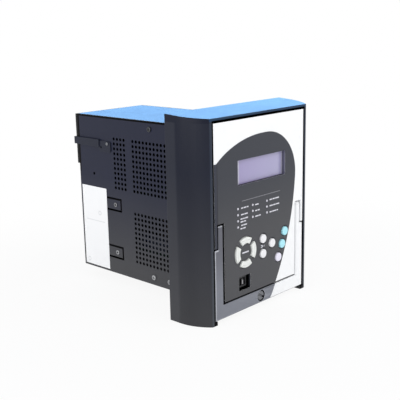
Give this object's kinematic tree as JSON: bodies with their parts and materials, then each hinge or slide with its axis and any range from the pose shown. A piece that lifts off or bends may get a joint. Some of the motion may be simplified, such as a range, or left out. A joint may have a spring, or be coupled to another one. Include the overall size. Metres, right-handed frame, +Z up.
{
  "type": "protection relay",
  "caption": "Panel-mounted draw-out protection relay: perforated steel case, curved bezel, display and keypad face, swing handle with a captive fastener, rear terminals.",
  "frame": {"origin": "centre of the case on the panel face, which is the rear of the bezel flange", "axes": "+X right seen from the front, +Y to the rear along the case, +Z up"},
  "size_m": [0.174, 0.2382, 0.205],
  "materials": {
    "bezel_plastic": "satin",
    "case_paint": "satin powder coat",
    "terminal_plastic": "moulded",
    "zinc_steel": "zinc plated",
    "strap_steel": "blackened",
    "brass": "plain",
    "label_white": "matt film",
    "rail_nylon": "moulded",
    "face_white": "satin",
    "face_dark": "printed film",
    "handle_grey": "satin",
    "display_glass": "clear",
    "display_frame": "backlit",
    "lamp_lens": "diffuse",
    "board_green": "solder mask",
    "key_mat": "moulded",
    "port_metal": "tin plated",
    "relay_blue": "moulded",
    "winding_copper": "enamelled",
    "key_white": "moulded",
    "key_cyan": "moulded",
    "key_lilac": "moulded"
  },
  "bodies": {
    "case": {"bezel": "bezel_plastic", "case_side_left": "case_paint", "case_side_right": "case_paint", "case_top": "case_paint", "case_bottom": "case_paint", "rear_panel": "case_paint", "upper_terminal_block": "terminal_plastic", "lower_terminal_blocks": "terminal_plastic", "terminal_screws": "zinc_steel", "strap_left": "strap_steel", "strap_right": "strap_steel", "strap_screws": "zinc_steel", "side_label": "label_white", "case_screws": "zinc_steel", "rail_rivets": "zinc_steel", "guide_rails": "rail_nylon", "lip_screws": "zinc_steel", "latch_bracket": "zinc_steel", "latch_bush": "brass", "earth_stud": "brass", "rear_sockets": "terminal_plastic"},
    "drawout": {"front_plate": "face_white", "face_film": "face_dark", "lcd_window": "display_glass", "lcd_module": "display_frame", "lamp_lenses": "lamp_lens", "front_board": "board_green", "board_screws": "zinc_steel", "keypad_mat": "key_mat", "port_socket": "port_metal", "handle_pins": "zinc_steel", "chassis_front": "zinc_steel", "upper_tray": "zinc_steel", "lower_tray": "zinc_steel", "main_board": "board_green", "io_board": "board_green", "board_standoffs": "brass", "output_relays": "relay_blue", "transformers": "winding_copper", "rear_plugs": "terminal_plastic"},
    "handle": {"handle": "handle_grey", "handle_film": "face_white"},
    "latch": {"latch_screw": "zinc_steel"},
    "key_right_cap": {"key_right": "key_white"},
    "key_up_cap": {"key_up": "key_white"},
    "key_left_cap": {"key_left": "key_white"},
    "key_down_cap": {"key_down": "key_white"},
    "key_1_cap": {"key_1": "key_white"},
    "key_2_cap": {"key_2": "key_white"},
    "key_3_cap": {"key_3": "key_white"},
    "key_4_cap": {"key_4": "key_cyan"},
    "key_5_cap": {"key_5": "key_cyan"},
    "key_6_cap": {"key_6": "key_lilac"}
  },
  "joints": [
    {"name": "drawout_slide", "type": "slide", "parent": "case", "child": "drawout", "axis": [0, -1, 0], "range_m": [0, 0.16]},
    {"name": "handle_swing", "type": "hinge", "parent": "drawout", "child": "handle", "pos_m": [0, -0.0417, -0.0052], "axis": [-1, 0, 0], "range_deg": [0, 85]},
    {"name": "latch_turn", "type": "hinge", "parent": "handle", "child": "latch", "pos_m": [0, -0.04, -0.08875], "axis": [0, 1, 0], "range_deg": [0, 90]},
    {"name": "key_right_press", "type": "slide", "parent": "drawout", "child": "key_right_cap", "axis": [0, 1, 0], "range_m": [0, 0.0012], "stiffness_N_per_m": 600},
    {"name": "key_up_press", "type": "slide", "parent": "drawout", "child": "key_up_cap", "axis": [0, 1, 0], "range_m": [0, 0.0012], "stiffness_N_per_m": 600},
    {"name": "key_left_press", "type": "slide", "parent": "drawout", "child": "key_left_cap", "axis": [0, 1, 0], "range_m": [0, 0.0012], "stiffness_N_per_m": 600},
    {"name": "key_down_press", "type": "slide", "parent": "drawout", "child": "key_down_cap", "axis": [0, 1, 0], "range_m": [0, 0.0012], "stiffness_N_per_m": 600},
    {"name": "key_1_press", "type": "slide", "parent": "drawout", "child": "key_1_cap", "axis": [0, 1, 0], "range_m": [0, 0.0012], "stiffness_N_per_m": 600},
    {"name": "key_2_press", "type": "slide", "parent": "drawout", "child": "key_2_cap", "axis": [0, 1, 0], "range_m": [0, 0.0012], "stiffness_N_per_m": 600},
    {"name": "key_3_press", "type": "slide", "parent": "drawout", "child": "key_3_cap", "axis": [0, 1, 0], "range_m": [0, 0.0012], "stiffness_N_per_m": 600},
    {"name": "key_4_press", "type": "slide", "parent": "drawout", "child": "key_4_cap", "axis": [0, 1, 0], "range_m": [0, 0.0012], "stiffness_N_per_m": 600},
    {"name": "key_5_press", "type": "slide", "parent": "drawout", "child": "key_5_cap", "axis": [0, 1, 0], "range_m": [0, 0.0012], "stiffness_N_per_m": 600},
    {"name": "key_6_press", "type": "slide", "parent": "drawout", "child": "key_6_cap", "axis": [0, 1, 0], "range_m": [0, 0.0012], "stiffness_N_per_m": 600}
  ]
}
